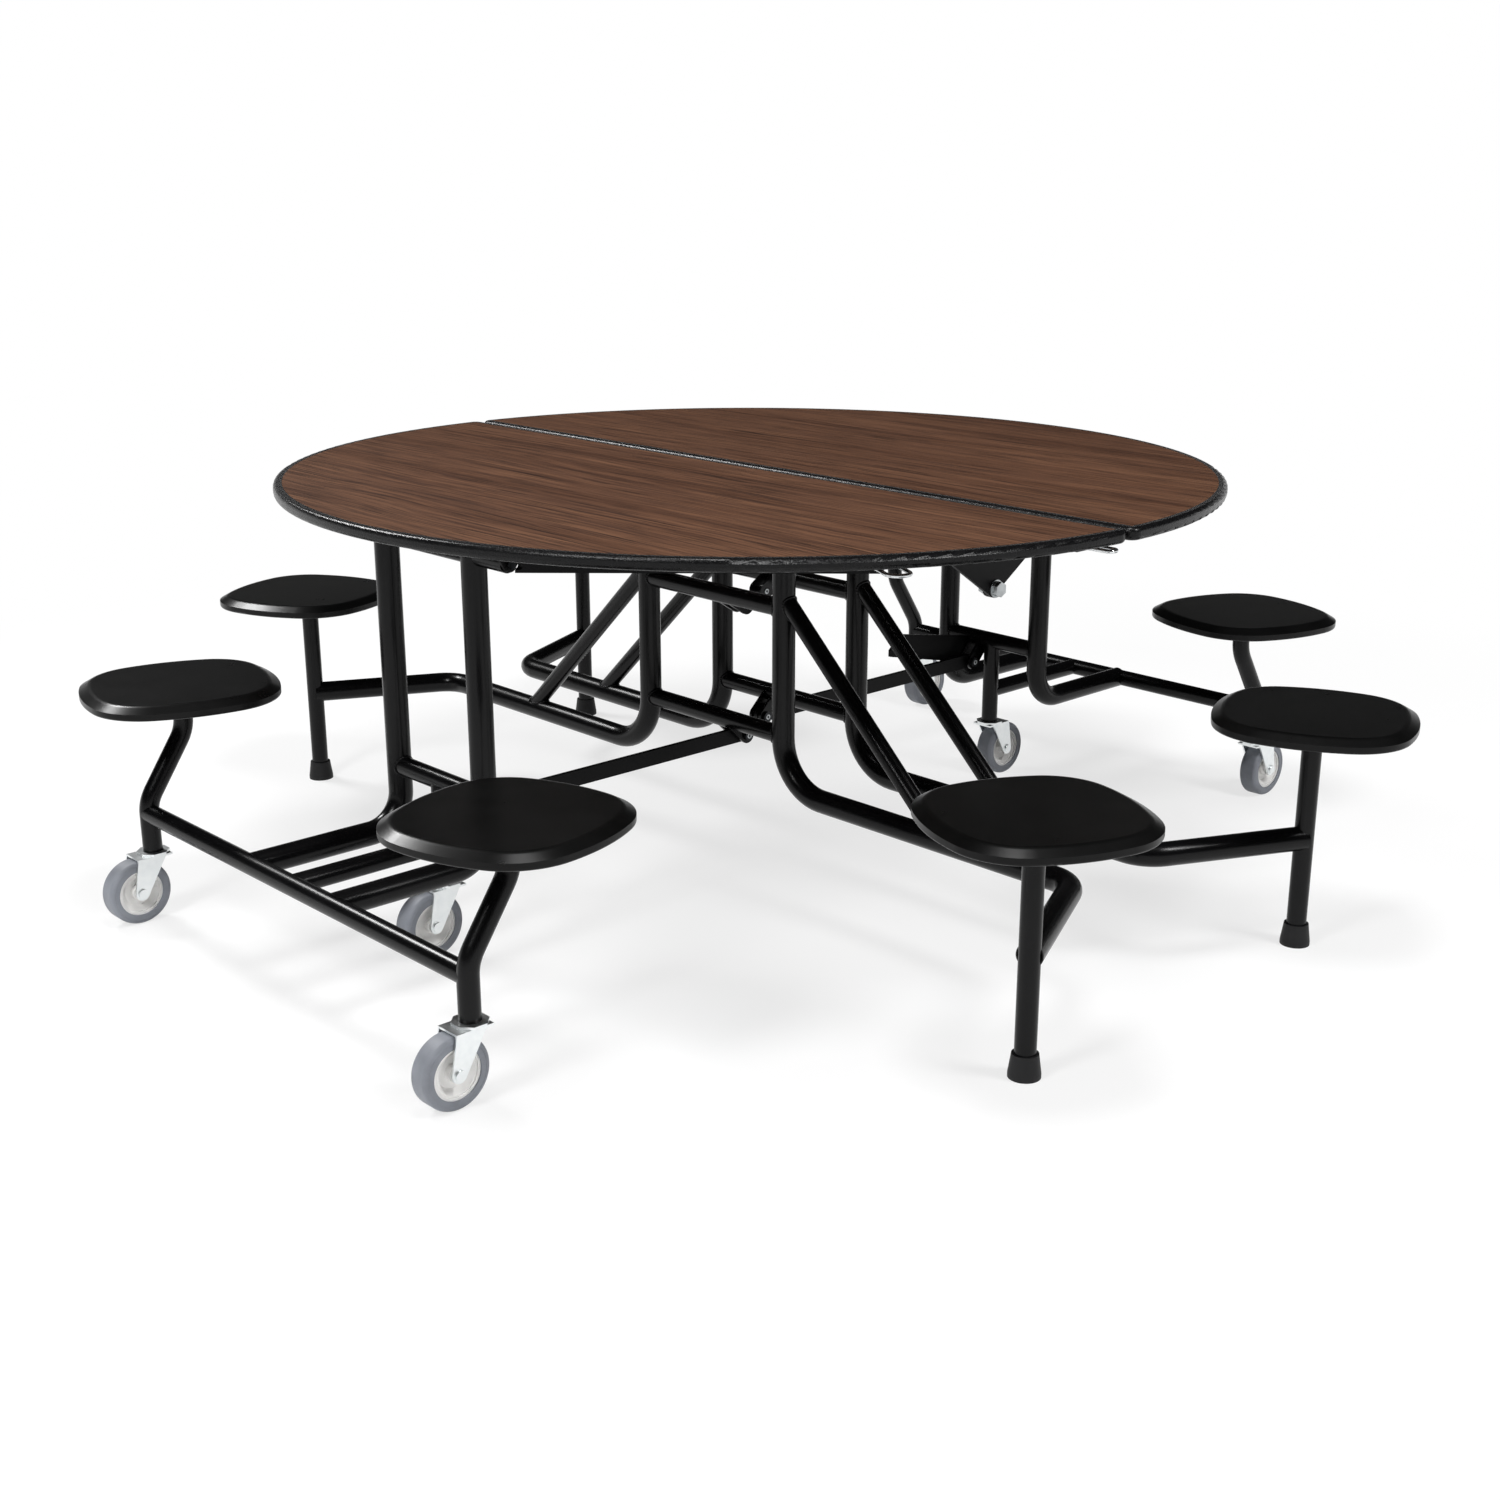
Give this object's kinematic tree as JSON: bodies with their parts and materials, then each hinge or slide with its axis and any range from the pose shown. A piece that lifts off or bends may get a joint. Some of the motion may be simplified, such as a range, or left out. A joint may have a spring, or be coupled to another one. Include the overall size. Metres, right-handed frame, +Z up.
{
  "type": "folding table with attached swivel seats",
  "caption": "Round mobile cafeteria table in two halves that fold upward at the middle, on tube frames with swivel stools, swivel casters and glide feet.",
  "frame": {"origin": "on the floor, under the middle of the round top", "axes": "+Z up; the split between the two halves runs along Y; each half's end frame stands along X"},
  "size_m": [1.9478, 2.0668, 0.671],
  "materials": {
    "laminate": "satin walnut laminate",
    "edge_band": "pebbled",
    "tube_paint": "semi-gloss black powder coat",
    "bracket_paint": "satin black",
    "pin_zinc": "zinc plated",
    "bolt_zinc": "zinc plated",
    "fork_zinc": "bright zinc plated",
    "latch_chrome": "bright",
    "seat_plastic": "satin moulded black",
    "hub_plastic": "off-white moulded",
    "tyre_rubber": "grey non-marking",
    "glide_rubber": "charcoal moulded"
  },
  "bodies": {
    "left_end": {"left_end_uprights": "tube_paint", "left_end_crossbars": "tube_paint", "left_caster_post": "tube_paint", "left_stool_posts": "tube_paint"},
    "left_top": {"left_top_panel": "laminate", "left_top_edge": "edge_band", "left_top_rails": "bracket_paint", "left_top_pins": "pin_zinc", "main_hinge_bolts": "bolt_zinc"},
    "left_centre": {"left_centre_uprights": "tube_paint", "left_centre_crossbars": "tube_paint", "left_centre_braces": "tube_paint", "left_glide_legs": "tube_paint", "left_glide_feet": "glide_rubber"},
    "left_link": {"left_link": "bracket_paint", "left_link_pins": "pin_zinc"},
    "left_latch": {"left_latch_loop": "latch_chrome"},
    "right_end": {"right_end_uprights": "tube_paint", "right_end_crossbars": "tube_paint", "right_caster_post": "tube_paint", "right_stool_posts": "tube_paint", "catch_plate": "bracket_paint"},
    "right_top": {"right_top_panel": "laminate", "right_top_edge": "edge_band", "right_top_rails": "bracket_paint", "right_top_pins": "pin_zinc"},
    "right_centre": {"right_centre_uprights": "tube_paint", "right_centre_crossbars": "tube_paint", "right_centre_braces": "tube_paint", "right_glide_legs": "tube_paint", "right_glide_feet": "glide_rubber"},
    "right_link": {"right_link": "bracket_paint", "right_link_pins": "pin_zinc"},
    "right_latch": {"right_latch_loop": "latch_chrome"},
    "left_front_end_stool": {"left_front_end_seat": "seat_plastic"},
    "left_front_glide_stool": {"left_front_glide_seat": "seat_plastic"},
    "left_back_end_stool": {"left_back_end_seat": "seat_plastic"},
    "left_back_glide_stool": {"left_back_glide_seat": "seat_plastic"},
    "right_front_end_stool": {"right_front_end_seat": "seat_plastic"},
    "right_front_glide_stool": {"right_front_glide_seat": "seat_plastic"},
    "right_back_end_stool": {"right_back_end_seat": "seat_plastic"},
    "right_back_glide_stool": {"right_back_glide_seat": "seat_plastic"},
    "left_front_caster": {"left_front_fork": "fork_zinc"},
    "left_front_wheel": {"left_front_hub": "hub_plastic", "left_front_tyre": "tyre_rubber"},
    "left_back_caster": {"left_back_fork": "fork_zinc"},
    "left_back_wheel": {"left_back_hub": "hub_plastic", "left_back_tyre": "tyre_rubber"},
    "left_inner_caster": {"left_inner_fork": "fork_zinc"},
    "left_inner_wheel": {"left_inner_hub": "hub_plastic", "left_inner_tyre": "tyre_rubber"},
    "right_front_caster": {"right_front_fork": "fork_zinc"},
    "right_front_wheel": {"right_front_hub": "hub_plastic", "right_front_tyre": "tyre_rubber"},
    "right_back_caster": {"right_back_fork": "fork_zinc"},
    "right_back_wheel": {"right_back_hub": "hub_plastic", "right_back_tyre": "tyre_rubber"},
    "right_inner_caster": {"right_inner_fork": "fork_zinc"},
    "right_inner_wheel": {"right_inner_hub": "hub_plastic", "right_inner_tyre": "tyre_rubber"}
  },
  "joints": [
    {"name": "fold", "type": "hinge", "parent": "left_end", "child": "left_top", "pos_m": [-0.632, 0, 0.625], "axis": [0, -1, 0], "range_deg": [0, 80]},
    {"name": "left_centre_pivot", "type": "hinge", "parent": "left_top", "child": "left_centre", "pos_m": [-0.084, 0, 0.625], "axis": [0, 1, 0], "range_deg": [0, 80]},
    {"name": "left_link_pivot", "type": "hinge", "parent": "left_end", "child": "left_link", "pos_m": [-0.598, 0, 0.23], "axis": [0, -1, 0], "range_deg": [0, 80]},
    {"name": "main_hinge", "type": "hinge", "parent": "left_top", "child": "right_top", "pos_m": [0, 0, 0.55], "axis": [0, 1, 0], "range_deg": [0, 160]},
    {"name": "right_centre_pivot", "type": "hinge", "parent": "right_top", "child": "right_centre", "pos_m": [0.084, 0, 0.625], "axis": [0, -1, 0], "range_deg": [0, 80]},
    {"name": "right_end_pivot", "type": "hinge", "parent": "right_top", "child": "right_end", "pos_m": [0.632, 0, 0.625], "axis": [0, -1, 0], "range_deg": [0, 80]},
    {"name": "right_link_pivot", "type": "hinge", "parent": "right_end", "child": "right_link", "pos_m": [0.598, 0, 0.23], "axis": [0, 1, 0], "range_deg": [0, 80]},
    {"name": "left_front_end_seat_swivel", "type": "hinge", "parent": "left_end", "child": "left_front_end_stool", "pos_m": [-0.819, -0.429, 0.34], "axis": [0, 0, 1], "continuous": true},
    {"name": "left_front_glide_seat_swivel", "type": "hinge", "parent": "left_centre", "child": "left_front_glide_stool", "pos_m": [-0.327, -0.875, 0.34], "axis": [0, 0, 1], "continuous": true},
    {"name": "left_back_end_seat_swivel", "type": "hinge", "parent": "left_end", "child": "left_back_end_stool", "pos_m": [-0.819, 0.429, 0.34], "axis": [0, 0, 1], "continuous": true},
    {"name": "left_back_glide_seat_swivel", "type": "hinge", "parent": "left_centre", "child": "left_back_glide_stool", "pos_m": [-0.327, 0.875, 0.34], "axis": [0, 0, 1], "continuous": true},
    {"name": "right_front_end_seat_swivel", "type": "hinge", "parent": "right_end", "child": "right_front_end_stool", "pos_m": [0.819, -0.429, 0.34], "axis": [0, 0, 1], "continuous": true},
    {"name": "right_front_glide_seat_swivel", "type": "hinge", "parent": "right_centre", "child": "right_front_glide_stool", "pos_m": [0.327, -0.875, 0.34], "axis": [0, 0, 1], "continuous": true},
    {"name": "right_back_end_seat_swivel", "type": "hinge", "parent": "right_end", "child": "right_back_end_stool", "pos_m": [0.819, 0.429, 0.34], "axis": [0, 0, 1], "continuous": true},
    {"name": "right_back_glide_seat_swivel", "type": "hinge", "parent": "right_centre", "child": "right_back_glide_stool", "pos_m": [0.327, 0.875, 0.34], "axis": [0, 0, 1], "continuous": true},
    {"name": "left_front_caster_swivel", "type": "hinge", "parent": "left_end", "child": "left_front_caster", "pos_m": [-0.89, -0.429, 0.105], "axis": [0, 0, 1], "continuous": true},
    {"name": "left_front_wheel_spin", "type": "hinge", "parent": "left_front_caster", "child": "left_front_wheel", "pos_m": [-0.923, -0.429, 0.0508], "axis": [0, 1, 0], "continuous": true},
    {"name": "left_back_caster_swivel", "type": "hinge", "parent": "left_end", "child": "left_back_caster", "pos_m": [-0.89, 0.429, 0.105], "axis": [0, 0, 1], "continuous": true},
    {"name": "left_back_wheel_spin", "type": "hinge", "parent": "left_back_caster", "child": "left_back_wheel", "pos_m": [-0.923, 0.429, 0.0508], "axis": [0, 1, 0], "continuous": true},
    {"name": "left_inner_caster_swivel", "type": "hinge", "parent": "left_end", "child": "left_inner_caster", "pos_m": [-0.632, 0, 0.105], "axis": [0, 0, 1], "continuous": true},
    {"name": "left_inner_wheel_spin", "type": "hinge", "parent": "left_inner_caster", "child": "left_inner_wheel", "pos_m": [-0.665, 0, 0.0508], "axis": [0, 1, 0], "continuous": true},
    {"name": "right_front_caster_swivel", "type": "hinge", "parent": "right_end", "child": "right_front_caster", "pos_m": [0.89, -0.429, 0.105], "axis": [0, 0, 1], "continuous": true},
    {"name": "right_front_wheel_spin", "type": "hinge", "parent": "right_front_caster", "child": "right_front_wheel", "pos_m": [0.923, -0.429, 0.0508], "axis": [0, 1, 0], "continuous": true},
    {"name": "right_back_caster_swivel", "type": "hinge", "parent": "right_end", "child": "right_back_caster", "pos_m": [0.89, 0.429, 0.105], "axis": [0, 0, 1], "continuous": true},
    {"name": "right_back_wheel_spin", "type": "hinge", "parent": "right_back_caster", "child": "right_back_wheel", "pos_m": [0.923, 0.429, 0.0508], "axis": [0, 1, 0], "continuous": true},
    {"name": "right_inner_caster_swivel", "type": "hinge", "parent": "right_end", "child": "right_inner_caster", "pos_m": [0.632, 0, 0.105], "axis": [0, 0, 1], "continuous": true},
    {"name": "right_inner_wheel_spin", "type": "hinge", "parent": "right_inner_caster", "child": "right_inner_wheel", "pos_m": [0.665, 0, 0.0508], "axis": [0, 1, 0], "continuous": true},
    {"name": "left_latch_pull", "type": "slide", "parent": "left_top", "child": "left_latch", "axis": [0, -1, 0], "range_m": [0, 0.012], "stiffness_N_per_m": 300},
    {"name": "right_latch_pull", "type": "slide", "parent": "right_top", "child": "right_latch", "axis": [0, 1, 0], "range_m": [0, 0.012], "stiffness_N_per_m": 300}
  ],
  "couplings": [
    {"joint": "left_centre_pivot", "follows": "fold", "ratio": 1},
    {"joint": "left_link_pivot", "follows": "fold", "ratio": 1},
    {"joint": "main_hinge", "follows": "fold", "ratio": 2},
    {"joint": "right_centre_pivot", "follows": "fold", "ratio": 1},
    {"joint": "right_end_pivot", "follows": "fold", "ratio": 1},
    {"joint": "right_link_pivot", "follows": "fold", "ratio": 1}
  ]
}
